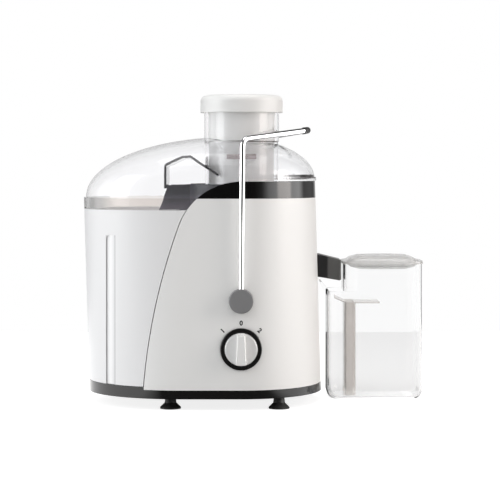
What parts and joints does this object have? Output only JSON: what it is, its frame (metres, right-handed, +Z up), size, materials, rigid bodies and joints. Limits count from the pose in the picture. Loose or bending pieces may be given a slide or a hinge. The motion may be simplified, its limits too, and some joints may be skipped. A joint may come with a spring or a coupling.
{
  "type": "centrifugal juicer",
  "caption": "Upright centrifugal juicer with a clear domed lid, round feed chute and pusher, wire locking bail, side pulp container, speed dial and a clear juice jug under its spout.",
  "frame": {"origin": "on the table, in the middle of the footprint of the juicer with its jug beside it", "axes": "+Z up, the dial faces -Y, the jug stands at +X and the pulp container at -X"},
  "size_m": [0.363, 0.1998, 0.3253],
  "materials": {
    "white_plastic": "satin gloss",
    "black_gloss": "high gloss",
    "tray_black": "fine texture",
    "clear_plastic": "polished clear",
    "frosted_plastic": "frosted",
    "smoke_plastic": "smoked clear",
    "bowl_plastic": "satin dark",
    "chrome_wire": "polished",
    "cap_grey": "satin",
    "knob_silver": "silver paint",
    "rubber_black": "moulded",
    "steel": "brushed",
    "mesh_steel": "perforated",
    "lamination": "stacked sheet",
    "copper": "enamelled wire",
    "carbon": "pressed carbon",
    "brass": "plain"
  },
  "bodies": {
    "base": {"base_tray": "tray_black", "foot_front_left": "rubber_black", "foot_front_right": "rubber_black", "foot_rear_left": "rubber_black", "foot_rear_right": "rubber_black", "base_screws": "steel", "main_housing": "white_plastic", "trim_band": "black_gloss", "juice_bowl": "bowl_plastic", "juice_spout": "bowl_plastic", "shaft_seal": "rubber_black", "motor_stator": "lamination", "field_coils": "copper", "lower_bracket": "steel", "upper_bracket": "steel", "lower_bearing": "steel", "upper_bearing": "steel", "stack_screws": "steel", "rubber_mounts": "rubber_black", "motor_screws": "steel", "brush_holders": "brass", "carbon_brushes": "carbon", "dial_bezel": "black_gloss", "rotary_switch": "tray_black", "pivot_bush_front": "cap_grey", "pivot_bush_rear": "cap_grey", "safety_switch": "tray_black", "cord_gland": "tray_black"},
    "rotor": {"motor_shaft": "steel", "armature_core": "lamination", "armature_windings": "copper", "commutator": "copper", "cooling_fan": "white_plastic", "drive_coupling": "bowl_plastic", "basket_base": "bowl_plastic", "filter_basket": "mesh_steel", "basket_rim": "bowl_plastic", "grater_disc": "steel"},
    "dial_knob": {"speed_knob": "knob_silver", "knob_spindle": "steel"},
    "bail": {"bail_wire": "chrome_wire", "bail_grip": "rubber_black", "pivot_cap_front": "cap_grey", "pivot_cap_rear": "cap_grey", "pivot_screws": "steel"},
    "lid": {"lid": "clear_plastic", "feed_chute": "clear_plastic", "pulp_hood": "smoke_plastic"},
    "pusher": {"pusher": "frosted_plastic", "pusher_cap": "frosted_plastic"},
    "pulp_container": {"pulp_container": "white_plastic"},
    "jug": {"jug": "clear_plastic", "froth_separator": "smoke_plastic"},
    "jug_cover": {"jug_lid": "smoke_plastic"}
  },
  "joints": [
    {"name": "rotor_spin", "type": "hinge", "parent": "base", "child": "rotor", "pos_m": [-0.01335, 0.0019, 0.1], "axis": [0, 0, 1], "continuous": true},
    {"name": "dial_turn", "type": "hinge", "parent": "base", "child": "dial_knob", "pos_m": [-0.01335, -0.0881, 0.063], "axis": [0, -1, 0], "range_deg": [-45, 45]},
    {"name": "bail_swing", "type": "hinge", "parent": "base", "child": "bail", "pos_m": [-0.01335, 0.0019, 0.1125], "axis": [0, 1, 0], "range_deg": [0, 50]},
    {"name": "lid_lift", "type": "slide", "parent": "base", "child": "lid", "axis": [0, 0, 1], "range_m": [0, 0.08]},
    {"name": "pusher_lift", "type": "slide", "parent": "lid", "child": "pusher", "axis": [0, 0, 1], "range_m": [0, 0.09]},
    {"name": "container_pull", "type": "slide", "parent": "base", "child": "pulp_container", "axis": [-1, 0, 0], "range_m": [0, 0.12]},
    {"name": "jug_pull", "type": "slide", "parent": "base", "child": "jug", "axis": [1, 0, 0], "range_m": [0, 0.12]},
    {"name": "jug_lid_lift", "type": "slide", "parent": "jug", "child": "jug_cover", "axis": [0, 0, 1], "range_m": [0, 0.06]}
  ],
  "couplings": [
    {"joint": "lid_lift", "follows": "bail_swing", "m_per_rad": 0.0916}
  ]
}
